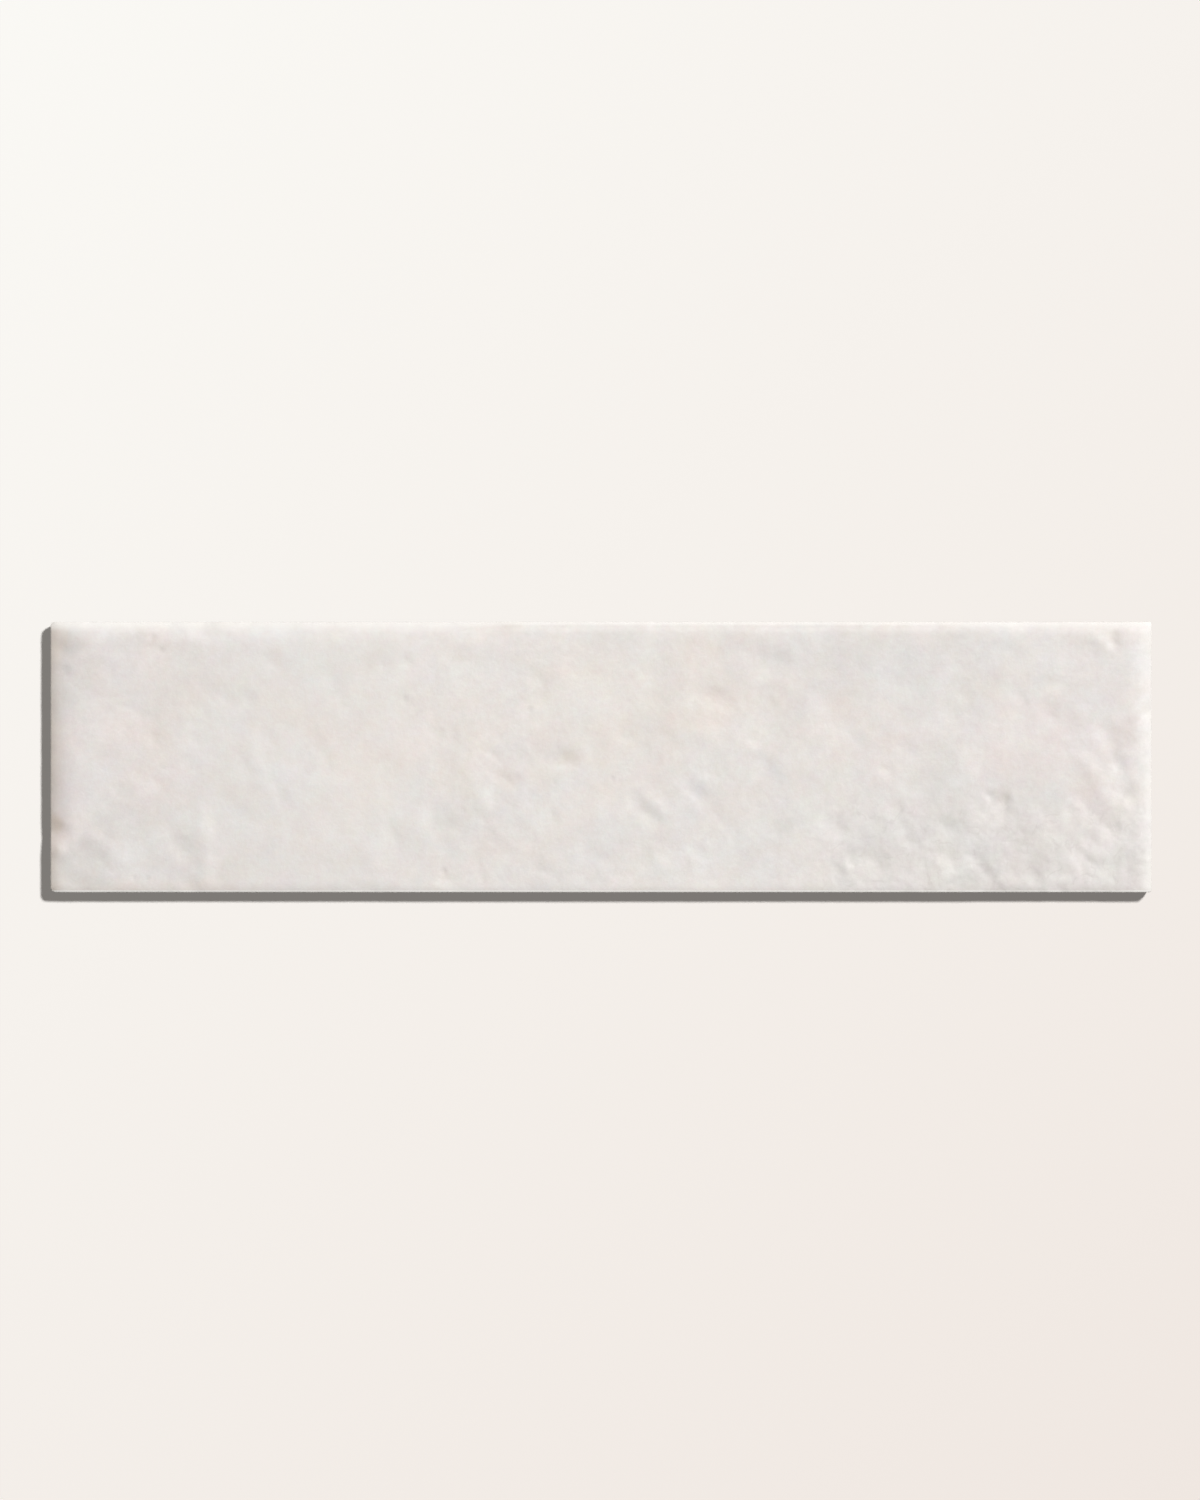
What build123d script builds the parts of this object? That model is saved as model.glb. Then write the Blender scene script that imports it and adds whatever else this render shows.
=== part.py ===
from build123d import *
import os

# A long, narrow porcelain tile, pressed and fired as one piece, with a glazed face that rolls off
# at its edges and shallow key pockets in its back. Millimetres, +X along the tile, +Z out of the
# glazed face. The origin is at the middle of the back, on the plane that the tile is bedded on.

# Overall sizes, the thickness taken over the highest points of the face
tile_length = 246.0
tile_width = 60.4
tile_thickness = 9.0

# Outline and sides
corner_radius = 1.0
land_height = 3.0
side_draft = 0.4
foot_height = 0.4
foot_inset = 0.3

# Rolled edge of the glazed face
roll_width = 2.2
roll_depth = 0.9

# Key pockets pressed into the back
key_depth = 0.7
key_pitch = 15.0
key_rib = 2.2
key_rim = 4.0
key_corner_radius = 1.2
key_taper = 20.0

# Heights at which the side changes, from the face down
roll_start = tile_thickness - roll_depth
land_start = roll_start - land_height

# The back is smaller than the face by the draft of the mould
back_length = tile_length - 2 * side_draft
back_width = tile_width - 2 * side_draft
foot_length = back_length - 2 * foot_inset
foot_width = back_width - 2 * foot_inset

# Distance that a cutting outline stands clear of the tile
clear = 5.0


def even_count(span):
    """Pockets across a span, an even number so that a rib runs down the middle of the tile."""
    return 2 * max(1, round(span / (2 * key_pitch)))


def pocket_size(span, count):
    """Length of each of the equal pockets between the rims of a span."""
    return (span - 2 * key_rim - (count - 1) * key_rib) / count


def roll_section(span):
    """Section across the tile: a quarter ellipse from the face down each side, then clear of it."""
    half = span / 2
    with BuildSketch() as section:
        with BuildLine():
            EllipticalCenterArc((half - roll_width, roll_start), roll_width, roll_depth, arc_size=90)
            Line((half - roll_width, tile_thickness), (0, tile_thickness))
            Polyline((half, roll_start), (half + clear, roll_start), (half + clear, -clear), (0, -clear))
            mirror(about=Plane.YZ)
        make_face()
    return section.sketch_local


with BuildPart() as tile:
    # The sides lean out from the foot to the land below the rolled edge
    with BuildSketch(Plane.XY):
        RectangleRounded(foot_length, foot_width, corner_radius)
    with BuildSketch(Plane.XY.offset(foot_height)):
        RectangleRounded(back_length, back_width, corner_radius)
    loft(ruled=True)
    with BuildSketch(Plane.XY.offset(foot_height)):
        RectangleRounded(back_length, back_width, corner_radius)
    with BuildSketch(Plane.XY.offset(land_start)):
        RectangleRounded(tile_length, tile_width, corner_radius)
    loft(ruled=True)

    # The upright land and the block that the face is rolled out of
    with BuildSketch(Plane.XY.offset(land_start)):
        RectangleRounded(tile_length, tile_width, corner_radius)
    extrude(amount=tile_thickness - land_start)

    # The rolled edge, cut along the tile's length and then across its ends
    with BuildSketch(Plane.YZ):
        add(roll_section(tile_width))
    extrude(amount=tile_length / 2 + clear, both=True, mode=Mode.INTERSECT)
    with BuildSketch(Plane.XZ):
        add(roll_section(tile_length))
    extrude(amount=tile_width / 2 + clear, both=True, mode=Mode.INTERSECT)

    # Rows of key pockets with ribs between them and a plain rim around them
    columns = even_count(foot_length - 2 * key_rim)
    rows = even_count(foot_width - 2 * key_rim)
    pocket_length = pocket_size(foot_length, columns)
    pocket_width = pocket_size(foot_width, rows)
    with BuildSketch(Plane.XY):
        with GridLocations(pocket_length + key_rib, pocket_width + key_rib, columns, rows):
            RectangleRounded(pocket_length, pocket_width, key_corner_radius)
    extrude(amount=key_depth, taper=key_taper, mode=Mode.SUBTRACT)

tile.part.label = "tile"

os.makedirs("parts", exist_ok=True)
export_step(tile.part, "parts/tile.step")

print("pockets", columns, "by", rows, "each", round(pocket_length, 2), "by", round(pocket_width, 2))
print("volume", round(tile.part.volume), "mm3, mass at 2.3 g/cm3", round(tile.part.volume * 2.3e-6, 3), "kg")
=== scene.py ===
import math
import random

import bmesh
import bpy
import numpy as np
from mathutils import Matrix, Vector


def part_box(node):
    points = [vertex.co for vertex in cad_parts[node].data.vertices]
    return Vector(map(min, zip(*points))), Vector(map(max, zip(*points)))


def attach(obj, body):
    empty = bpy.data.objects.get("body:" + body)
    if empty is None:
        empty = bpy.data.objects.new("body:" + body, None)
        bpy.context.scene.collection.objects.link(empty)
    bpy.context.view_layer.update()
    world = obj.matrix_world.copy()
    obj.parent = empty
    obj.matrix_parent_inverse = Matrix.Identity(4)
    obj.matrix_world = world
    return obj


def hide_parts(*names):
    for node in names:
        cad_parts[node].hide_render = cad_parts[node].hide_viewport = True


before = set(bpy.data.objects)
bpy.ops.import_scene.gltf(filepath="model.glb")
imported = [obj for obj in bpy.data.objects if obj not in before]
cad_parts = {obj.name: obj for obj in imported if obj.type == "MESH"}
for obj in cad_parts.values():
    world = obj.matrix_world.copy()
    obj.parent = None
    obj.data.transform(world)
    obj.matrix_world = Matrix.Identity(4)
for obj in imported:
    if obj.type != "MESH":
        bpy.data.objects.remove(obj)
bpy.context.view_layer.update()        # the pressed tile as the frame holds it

# A glazed porcelain tile, lying on its keyed back with its uneven face up.
# Metres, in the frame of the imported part: +X along the tile and +Z out of the face.

MM = 0.001

# The tile's own sizes, taken from the part
low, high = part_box("tile")
LENGTH = high.x - low.x
WIDTH = high.y - low.y
CREST = high.z

# Pressed outline and sides
CORNERS = {"near left": (-1, -1, 1.2 * MM), "far left": (-1, 1, 0.8 * MM),
           "near right": (1, -1, 0.6 * MM), "far right": (1, 1, 0.6 * MM)}
SIDE_DRAFT = 0.4 * MM
FOOT_INSET = 0.3 * MM
FOOT_HEIGHT = 0.4 * MM
LAND_FOOT = 5.1 * MM
ARRIS = 0.16 * MM

# Key pockets in the back
KEY_COLUMNS = 16
KEY_ROWS = 4
KEY_DEPTH = 0.7 * MM
KEY_RIB = 2.2 * MM
KEY_RIM = 4.0 * MM
KEY_CORNER = 1.2 * MM
KEY_TAPER = math.radians(20)

# Cells along and across the face, doubled once by a subdivision
FACE_COLUMNS = 295
FACE_ROWS = 72

# The photograph's frame, in its own pixels, and the face in it
PHOTO_WIDE = 1200
PHOTO_HIGH = 1500
FACE_MIDDLE_X = 601.0
FACE_MIDDLE_Y = 757.1
FACE_LONG = 1101.0
PIXEL = LENGTH / FACE_LONG

# Shares of a full white light that fall on a level surface
SUN_SHARE = 0.735
SKY_SHARE = 0.065
RAKE_SHARE = 0.245
SUN_ACROSS = 0.297
SUN_UP = 0.266
RAKE_TILT = math.radians(62)
RAKE_TURN = math.radians(45)
RAKE_AWAY = 2.0
RAKE_SIZE = 0.5


def on_face(x, y):
    """The place on the face, in metres from its middle, of a spot read off the photograph."""
    return (x - FACE_MIDDLE_X) * PIXEL, (FACE_MIDDLE_Y - y) * PIXEL


def only(piece):
    """Leaves one piece selected and active."""
    bpy.ops.object.select_all(action="DESELECT")
    piece.select_set(True)
    bpy.context.view_layer.objects.active = piece


def apply(piece, modifier):
    """Makes a modifier's result the piece's own mesh."""
    only(piece)
    bpy.ops.object.modifier_apply(modifier=modifier.name)


# The face: a flat sheet, pressed and rolled, then made finer

def face_sheet():
    """A flat sheet as long and wide as the tile, at the height of its highest crest."""
    bpy.ops.object.select_all(action="DESELECT")
    bpy.ops.mesh.primitive_grid_add(x_subdivisions=FACE_COLUMNS, y_subdivisions=FACE_ROWS, size=1,
                                    location=(0, 0, CREST))
    sheet = bpy.context.object
    sheet.name = "glazed_tile"
    sheet.data.name = "glazed_tile"
    bpy.ops.object.mode_set(mode="EDIT")
    bpy.ops.mesh.select_mode(type="VERT")
    bpy.ops.transform.resize(value=(LENGTH, WIDTH, 1))
    bpy.ops.object.mode_set(mode="OBJECT")
    bpy.ops.object.transform_apply(location=True, rotation=True, scale=True)
    return sheet


def plan(piece):
    """Every vertex's place seen from above, as two columns."""
    places = np.zeros(len(piece.data.vertices) * 3)
    piece.data.vertices.foreach_get("co", places)
    return places.reshape(-1, 3)[:, :2]


def from_stroke(places, start, end):
    """Distance of each place from the straight line between two spots."""
    start, end = np.array(start), np.array(end)
    run = end - start
    length = max(run @ run, 1e-12)
    along = np.clip(((places - start) @ run) / length, 0, 1)
    return np.hypot(*(places - start - np.outer(along, run)).T)


def press(piece, chosen, lift, reach, falloff="SMOOTH"):
    """Moves the chosen vertices up or down and lets the clay round them follow, as far as reach."""
    bpy.ops.mesh.select_all(action="DESELECT")
    mesh = bmesh.from_edit_mesh(piece.data)
    mesh.verts.ensure_lookup_table()
    for index in chosen:
        mesh.verts[index].select_set(True)
    bmesh.update_edit_mesh(piece.data)
    bpy.ops.transform.translate(value=(0, 0, lift), use_proportional_edit=True,
                                proportional_edit_falloff=falloff, proportional_size=reach)


# How the face rolls down at its edges: the axis that each edge crosses and its side, the stretch
# of it in the photograph's pixels, then the reach and the drop of the roll in millimetres
EDGE_ROLLS = {
    "left": (0, -1, (620, 832), 7.0, 0.84),
    "left, near end": (0, -1, (832, 895), 6.0, 0.50),
    "left, tight": (0, -1, (620, 895), 1.8, 0.16),
    "right, far end": (0, 1, (620, 712), 5.4, 0.72),
    "right, near end": (0, 1, (712, 895), 3.8, 0.32),
    "right, tight": (0, 1, (620, 895), 1.2, 0.10),
    "far": (1, 1, (50, 1152), 2.3, 0.59),
    "far, tight": (1, 1, (50, 1152), 1.0, 0.14),
    "far, left end": (1, 1, (50, 205), 4.8, 0.60),
    "far, left of the middle": (1, 1, (205, 500), 5.8, 0.42),
    "far, right end": (1, 1, (985, 1152), 4.4, 0.23),
    "near": (1, -1, (50, 1152), 2.0, 0.11),
    "near, tight": (1, -1, (50, 1152), 0.8, 0.06),
    "near, left end": (1, -1, (50, 390), 3.0, 0.13),
    "near, right end": (1, -1, (985, 1110), 3.0, 0.18),
}
STRETCH = 9 * MM


def roll_edges(sheet):
    """Rolls the face down to each edge, a stretch at a time, no two stretches quite alike.

    The left and near edges, whose height the shadow shows, are rolled more evenly."""
    hand = random.Random(7)
    places = plan(sheet)
    half = (LENGTH / 2, WIDTH / 2)
    bpy.ops.object.mode_set(mode="EDIT")
    for across, side, (first, last), reach, drop in EDGE_ROLLS.values():
        on_edge = np.abs(places[:, across] - side * half[across]) < 0.1 * MM
        along = places[:, 1 - across]
        start, end = sorted((on_face(first, first)[1 - across], on_face(last, last)[1 - across]))
        whole = on_edge & (along >= start) & (along <= end)
        press(sheet, np.flatnonzero(whole), -0.8 * drop * MM, reach * MM, "SHARP")
        spread = 0.15 if side > 0 else 0.05
        for index in range(round((end - start) / STRETCH)):
            here = start + index * STRETCH
            part = np.flatnonzero(whole & (along >= here) & (along < here + STRETCH))
            lift = -drop * MM * hand.uniform(0.2 - spread, 0.2 + spread)
            press(sheet, part, lift, reach * MM * hand.uniform(0.7, 1.3), "SHARP")
    bpy.ops.object.mode_set(mode="OBJECT")


# Hollows and ridges that show in the photograph: where each starts and ends there, in pixels,
# then how far it eases out round itself and how much it rises or sinks, in millimetres.
RIDGES_AND_HOLLOWS = {
    # Left end
    "far left corner": ((58, 646), (70, 650), 3.6, -0.31),
    "dint under the corner": ((62, 670), (66, 674), 1.7, -0.10),
    "valley from the corner": ((70, 676), (104, 700), 2.4, -0.05),
    "end of that valley": ((120, 706), (150, 718), 2.2, -0.06),
    "shallow place at the far edge": ((138, 642), (166, 655), 3.2, -0.07),
    "dint by the far edge": ((102, 660), (116, 678), 3.2, -0.07),
    "bead along the far edge": ((236, 635), (418, 637), 3.0, 0.04),
    "left streak": ((190, 676), (238, 698), 3.4, -0.06),
    "dint under the streak": ((242, 692), (254, 700), 2.2, -0.06),
    "dint left of the crease": ((150, 736), (154, 741), 1.7, -0.05),
    "dint right of the crease": ((192, 736), (196, 742), 1.7, -0.06),
    "dint below both": ((180, 757), (195, 768), 1.9, -0.05),
    "left crease": ((248, 746), (264, 768), 2.4, 0.05),
    "foot of the left crease": ((241, 758), (254, 774), 2.4, -0.08),
    "soft dint over the crease": ((262, 734), (272, 742), 2.6, -0.07),
    "dints under the crease": ((244, 798), (256, 786), 1.8, -0.05),
    "white rise at the left": ((70, 752), (86, 780), 3.2, 0.03),
    "white rise below it": ((62, 790), (72, 816), 3.0, 0.02),
    "broad rise at the left": ((84, 712), (130, 748), 5.0, 0.08),
    "low place at the left": ((116, 788), (130, 796), 2.6, -0.08),
    "dint by the low place": ((158, 782), (164, 790), 1.8, -0.06),
    "edge notch": ((52, 826), (61, 829), 2.4, -0.20),
    "rise under the notch": ((51, 848), (57, 850), 2.6, 0.20),
    "rise in the near left corner": ((92, 840), (124, 860), 3.4, 0.13),
    "hollow in the near left corner": ((70, 884), (108, 888), 2.8, -0.12),
    "upright ridge": ((202, 808), (206, 848), 3.6, 0.10),
    "upright ridge, near end": ((206, 856), (209, 894), 3.4, 0.13),
    "hollow beside it": ((170, 828), (194, 860), 3.4, -0.13),
    "far end of the hollow": ((186, 882), (196, 892), 3.0, -0.18),
    "soft place left of the middle": ((226, 800), (246, 822), 3.4, -0.07),
    "soft streak": ((268, 768), (292, 810), 2.4, -0.05),
    "second soft streak": ((312, 732), (336, 774), 2.2, -0.05),
    "row of dints": ((330, 674), (345, 708), 2.0, -0.03),
    "dint near the far edge": ((356, 658), (382, 664), 3.0, -0.07),
    "dint left of that": ((266, 658), (276, 664), 2.4, -0.05),
    "dint right of that": ((402, 654), (408, 664), 2.2, -0.07),
    "dint under the far edge": ((402, 702), (407, 706), 2.2, -0.02),
    "near ridge": ((372, 848), (380, 884), 3.8, 0.08),
    "low place right of it": ((386, 822), (400, 850), 2.8, -0.08),
    "hollow on the edge": ((350, 886), (372, 888), 2.0, -0.10),

    # Left of the middle
    "upright dint": ((434, 724), (437, 740), 1.8, -0.08),
    "dint beside the upright one": ((454, 735), (457, 741), 1.7, -0.06),
    "slant at the far middle": ((526, 670), (546, 684), 2.4, -0.06),
    "dint under the slant": ((540, 696), (544, 702), 1.6, -0.03),
    "pit at the middle": ((528, 714), (531, 716), 1.6, -0.05),
    "slant to the upright hollow": ((484, 746), (502, 758), 1.8, -0.07),
    "upright hollow": ((502, 779), (520, 785), 2.8, -0.14),
    "far end of the ridge": ((470, 764), (482, 788), 3.6, 0.09),
    "ridge left of the middle": ((480, 792), (485, 808), 3.4, 0.12),
    "foot of that ridge": ((436, 816), (460, 832), 4.0, -0.11),
    "long rise": ((420, 812), (436, 862), 3.4, 0.05),
    "round hollow": ((553, 754), (573, 758), 3.0, -0.19),
    "lip of the round hollow": ((586, 752), (592, 776), 2.6, 0.03),
    "small rise over the round hollow": ((526, 740), (534, 756), 2.2, 0.06),
    "dint under the ridge": ((488, 830), (494, 838), 2.2, -0.04),
    "dint across the ridge": ((484, 820), (498, 812), 2.0, -0.06),
    "slanting rise": ((490, 846), (510, 872), 3.4, 0.05),
    "soft hollow below the middle": ((512, 824), (532, 844), 3.0, -0.10),
    "dint right of it": ((554, 815), (557, 821), 1.8, -0.05),
    "low place near the edge": ((536, 864), (556, 876), 2.2, -0.08),
    "low place right of that": ((586, 848), (598, 868), 3.2, -0.04),
    "near pit": ((441, 874), (454, 886), 2.0, -0.10),
    "dints left of the slanting rise": ((476, 856), (482, 880), 1.7, -0.06),
    "rise at the near edge": ((604, 868), (612, 886), 2.0, 0.07),

    # Right of the middle
    "ridge right of the middle": ((650, 800), (665, 811), 2.4, 0.17),
    "foot of it, to the left": ((633, 799), (657, 822), 2.6, -0.14),
    "near rise": ((648, 838), (668, 872), 2.4, 0.08),
    "hollow under the step": ((691, 786), (705, 799), 3.0, -0.18),
    "step": ((696, 776), (712, 784), 2.0, 0.07),
    "crease from the step": ((714, 808), (734, 830), 2.4, -0.04),
    "upright low place": ((650, 672), (664, 702), 3.6, -0.06),
    "hollow over the peach rise": ((694, 694), (730, 700), 3.4, -0.13),
    "peach rise": ((692, 722), (712, 740), 4.4, 0.11),
    "dint left of the peach rise": ((620, 730), (630, 740), 2.2, -0.06),
    "dint below it": ((640, 748), (646, 754), 1.8, -0.07),
    "chain of dints": ((660, 738), (688, 748), 1.8, -0.05),
    "dint on the peach rise": ((718, 736), (726, 742), 1.6, -0.06),
    "dark place at the far edge": ((744, 652), (784, 660), 4.0, -0.15),
    "hollow right of the peach rise": ((756, 762), (770, 774), 3.6, -0.17),
    "rise by that hollow": ((746, 740), (752, 748), 1.8, 0.05),
    "slant over it": ((768, 700), (776, 716), 2.0, -0.07),
    "low place below": ((764, 822), (790, 838), 2.2, -0.06),
    "grey place near the edge": ((690, 844), (708, 862), 2.8, -0.08),

    # Right
    "brown hollow": ((824, 702), (840, 714), 3.8, -0.07),
    "slant under it": ((850, 736), (866, 748), 2.6, -0.06),
    "small slant right": ((902, 744), (918, 754), 2.0, -0.07),
    "dint right of the brown hollow": ((886, 766), (892, 774), 1.8, -0.09),
    "low streak": ((896, 808), (914, 846), 2.6, -0.06),
    "second low streak": ((896, 806), (902, 812), 2.0, -0.06),
    "near left hollow": ((832, 822), (844, 840), 3.0, -0.13),
    "dint between": ((846, 852), (852, 858), 1.8, -0.09),
    "small ridge at the edge": ((847, 862), (850, 880), 1.9, 0.14),
    "hollow at the edge": ((870, 856), (887, 869), 3.0, -0.19),
    "long streak": ((959, 684), (970, 712), 2.6, -0.10),
    "far right low place": ((1000, 648), (1020, 656), 2.6, -0.08),
    "shelf": ((1028, 680), (1058, 684), 2.6, -0.10),
    "upright slant": ((1018, 688), (1026, 706), 2.2, -0.08),
    "slanting hollow": ((1043, 702), (1057, 721), 2.6, -0.15),
    "rise right of it": ((1074, 704), (1086, 716), 2.2, 0.07),
    "bright slant": ((1092, 634), (1106, 650), 2.6, 0.20),
    "foot of the bright slant": ((1074, 638), (1084, 652), 2.6, -0.03),
    "far right pit": ((1112, 636), (1116, 646), 2.0, -0.16),
    "end valley, far end": ((1100, 730), (1118, 744), 3.4, -0.12),
    "end valley": ((1108, 742), (1122, 764), 3.0, -0.18),
    "end ridge, far end": ((1076, 755), (1104, 786), 3.8, 0.16),
    "end valley, near end": ((1122, 768), (1133, 800), 3.0, -0.24),
    "end ridge": ((1102, 792), (1126, 812), 3.2, 0.15),
    "foot of the end ridge": ((1076, 794), (1100, 822), 3.0, -0.12),
    "dint over the deep hollow": ((988, 794), (992, 800), 1.8, -0.10),
    "deep hollow": ((1001, 798), (1007, 818), 3.0, -0.30),
    "green hollow": ((944, 824), (952, 830), 2.0, -0.10),
    "rise by the green hollow": ((964, 808), (984, 828), 3.4, 0.12),
    "curved groove": ((970, 854), (997, 888), 2.3, -0.18),
    "dint left of the curved groove": ((950, 853), (956, 860), 1.8, -0.10),
    "rise left of the groove": ((930, 858), (944, 872), 2.2, 0.10),
    "rise over the groove": ((978, 842), (992, 852), 2.0, 0.10),
    "second groove": ((1031, 873), (1042, 891), 2.4, -0.20),
    "dint between the grooves": ((1014, 868), (1020, 876), 1.6, -0.08),
    "groove at the edge": ((1050, 884), (1068, 892), 2.2, -0.16),
    "near right rise": ((1068, 862), (1080, 876), 2.4, 0.17),
    "third groove": ((1082, 856), (1100, 870), 2.2, -0.18),
    "end of the third groove": ((1100, 868), (1120, 862), 1.7, -0.11),
    "dint over the third groove": ((1090, 836), (1094, 844), 1.8, -0.09),
    "dint at the right edge": ((1108, 822), (1114, 832), 2.2, -0.13),
    "near right corner": ((1124, 864), (1132, 874), 2.0, -0.10),
}

# Small pits, each a spot in the photograph, with its reach and depth in millimetres
PITS = {
    "near the left end": ((444, 871), 1.1, -0.10),
    "in the round hollow": ((554, 782), 0.9, -0.06),
    "middle": ((612, 779), 0.9, -0.06),
    "left of the middle": ((518, 776), 1.3, -0.07),
    "far left": ((161, 650), 1.2, -0.10),
    "far corner": ((152, 637), 1.4, -0.08),
    "near corner": ((134, 878), 0.9, -0.06),
    "near corner again": ((147, 880), 0.8, -0.05),
    "above the middle": ((529, 710), 1.2, -0.07),
    "right": ((990, 795), 1.4, -0.07),
    "in the deep hollow": ((1006, 799), 1.8, -0.13),
    "right end": ((1117, 829), 1.3, -0.08),
    "lower right": ((886, 858), 1.5, -0.06),
    "lower right again": ((852, 852), 1.4, -0.05),
    "over the streak": ((976, 662), 1.1, -0.05),
    "left middle": ((404, 699), 1.2, -0.06),
}


# How far from the middle line of a touch the clay moves the whole way
TOUCH = 0.5 * MM


def press_marks(piece, marks):
    """Presses a set of strokes into the face, each as a row of short uneven touches."""
    hand = random.Random(11)
    places = plan(piece)
    bpy.ops.object.mode_set(mode="EDIT")
    for start, end, reach, lift in marks:
        start, end = Vector(on_face(*start)), Vector(on_face(*end))
        reach, lift = reach * MM, lift * MM
        run = (end - start).normalized() * 0.3 * reach
        count = max(2, round((end - start).length / (0.9 * reach)))
        for index in range(count):
            middle = start.lerp(end, (index + hand.uniform(0.2, 0.8)) / count)
            middle += Vector((hand.gauss(0, 0.12), hand.gauss(0, 0.12))) * reach
            near = from_stroke(places, middle - run, middle + run)
            chosen = np.flatnonzero(near <= max(TOUCH, near.min()))
            press(piece, chosen, lift * hand.uniform(0.42, 0.74), reach * hand.uniform(0.8, 1.15))
    bpy.ops.object.mode_set(mode="OBJECT")


def press_pits(piece, pits):
    """Pricks single pits into the face."""
    places = plan(piece)
    bpy.ops.object.mode_set(mode="EDIT")
    for spot, reach, lift in pits:
        near = from_stroke(places, on_face(*spot), on_face(*spot))
        press(piece, [int(near.argmin())], lift * MM, reach * MM)
    bpy.ops.object.mode_set(mode="OBJECT")


def finer(sheet):
    """Halves every cell of the sheet and smooths it, as clay rounds what is pressed into it."""
    halve = sheet.modifiers.new("finer", "SUBSURF")
    halve.levels = 1
    halve.render_levels = 1
    halve.boundary_smooth = "PRESERVE_CORNERS"
    apply(sheet, halve)


def weigh(piece, name, weight):
    """A vertex group whose weights come from each vertex's place on the face."""
    group = piece.vertex_groups.new(name=name)
    across, up = plan(piece).T
    steps = np.clip(np.round(weight(across, up) * 40), 0, 40).astype(int)
    for step in np.unique(steps):
        group.add([int(index) for index in np.flatnonzero(steps == step)], step / 40, "REPLACE")


def ease(value, start, end):
    """Rises smoothly from 0 at start to 1 at end."""
    share = np.clip((value - start) / (end - start), 0, 1)
    return share * share * (3 - 2 * share)


def uneven(piece, name, group, grain, rise, layers=0, noise_type="SOFT_NOISE", axis="Z"):
    """Moves the face along an axis by a cloudy texture that has a place of its own."""
    texture = bpy.data.textures.new(name, "CLOUDS")
    texture.noise_scale = grain * MM
    texture.noise_depth = layers
    texture.noise_type = noise_type
    guide = bpy.data.objects.new(name, None)
    guide.location = Vector((0.37, 0.21, 0.13)) * len(bpy.data.textures)
    bpy.context.scene.collection.objects.link(guide)
    bpy.context.view_layer.update()
    swell = piece.modifiers.new(name, "DISPLACE")
    swell.texture = texture
    swell.texture_coords = "OBJECT"
    swell.texture_coords_object = guide
    swell.direction = axis
    swell.mid_level = 0.5
    swell.strength = rise * MM
    swell.vertex_group = group
    apply(piece, swell)
    bpy.data.objects.remove(guide)


def inside(x, y, border=0):
    """1 within the face, falling to 0 at a border along its edges."""
    return ease(LENGTH / 2 - abs(x), border, 0.004) * ease(WIDTH / 2 - abs(y), border, 0.004)


def wander(piece):
    """Moves the marks about within the face, so that none keeps a clean outline."""
    weigh(piece, "inside", inside)
    for axis in "XY":
        uneven(piece, "broad wander " + axis, "inside", 6.0, 1.0, axis=axis)
        uneven(piece, "small wander " + axis, "inside", 2.4, 0.5, axis=axis)


def struck(x, y):
    """How much broad unevenness is left: less by the left and near edges, which are struck straight."""
    return 0.3 + 0.7 * ease(np.minimum(x + LENGTH / 2, y + WIDTH / 2), 0, 0.0045)


def lumpy(x, y):
    """How lumpy the face is: half as much left of the middle."""
    calm = ease(x, -0.095, -0.085) * ease(-x, 0.035, 0.05)
    return 0.95 - 0.50 * calm + 0.05 * ease(x, -0.02, 0.03)


def creased(x, y):
    """How creased the face is: all of it at the near right, and a little at the near middle."""
    near_right = ease(x, 0.035, 0.060) * ease(-y, 0.004, 0.016)
    near_middle = ease(x, -0.05, -0.02) * ease(-y, 0.006, 0.02) * ease(-x, -0.06, -0.03)
    return near_right + 0.25 * near_middle


# The face's own unevenness: the weights that it goes by, its grain and its whole rise in
# millimetres, then its finer layers and its kind of noise where they aren't 0 and soft
UNEVENNESS = {
    "swell": ("swell", 40, 0.35, 2),
    "broad lumps": ("broad", 14, 0.20),
    "dimples": ("lumps", 7, 0.07),
    "ripples": ("lumps", 3.5, 0.026),
    "pores": ("lumps", 1.75, 0.010),
    "grain": ("lumps", 0.95, 0.006),
    "stone": ("lumps", 6.0, 0.03, 3, "HARD_NOISE"),
    "creases": ("creases", 4.5, 0.10, 3, "HARD_NOISE"),
    "fine creases": ("creases", 2.2, 0.05, 1, "HARD_NOISE"),
}


def uneven_face(piece):
    """The face's own unevenness: calm left of the middle and creased at the near right."""
    weigh(piece, "swell", struck)
    weigh(piece, "broad", lambda x, y: lumpy(x, y) * struck(x, y))
    weigh(piece, "lumps", lumpy)
    weigh(piece, "creases", creased)
    for name, settings in UNEVENNESS.items():
        uneven(piece, name, *settings)


def round_corners(piece):
    """Draws the square corners of the sheet in onto their arcs."""
    for side_x, side_y, radius in CORNERS.values():
        for vertex in piece.data.vertices:
            past_x = side_x * vertex.co.x - (LENGTH / 2 - radius)
            past_y = side_y * vertex.co.y - (WIDTH / 2 - radius)
            if past_x > 0 and past_y > 0:
                pull = max(past_x, past_y) / math.hypot(past_x, past_y)
                vertex.co.x = side_x * (LENGTH / 2 - radius + past_x * pull)
                vertex.co.y = side_y * (WIDTH / 2 - radius + past_y * pull)


def lower_to_crest(piece):
    """Shifts the face so that its highest crest is at the tile's thickness."""
    top = max(vertex.co.z for vertex in piece.data.vertices)
    bpy.ops.object.mode_set(mode="EDIT")
    bpy.ops.mesh.select_all(action="SELECT")
    bpy.ops.transform.translate(value=(0, 0, CREST - top))
    bpy.ops.object.mode_set(mode="OBJECT")


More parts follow.
